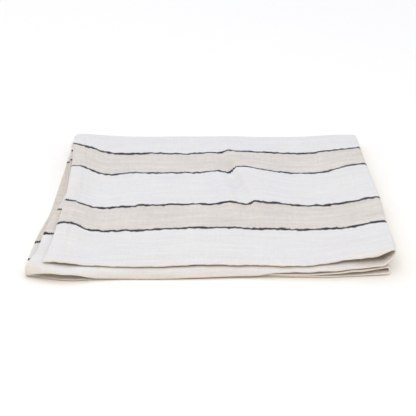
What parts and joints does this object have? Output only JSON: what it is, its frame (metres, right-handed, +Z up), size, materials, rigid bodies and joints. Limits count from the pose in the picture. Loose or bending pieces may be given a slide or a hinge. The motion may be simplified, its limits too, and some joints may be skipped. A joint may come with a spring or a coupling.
{
  "type": "cloth napkin",
  "caption": "Hemmed linen table napkin with woven beige bands and dark lines, folded in half twice and lying flat.",
  "frame": {"origin": "middle of the folded napkin's footprint, on the surface it lies on", "axes": "+Z up, +X to the right creases, +Y to the back crease, -Y to the hemmed front edges"},
  "size_m": [0.2698, 0.265, 0.0208],
  "materials": {
    "linen": "matte plain-woven linen, whitish with beige bands and thin dark woven lines"
  },
  "bodies": {
    "root": {"napkin": "linen"}
  },
  "joints": []
}
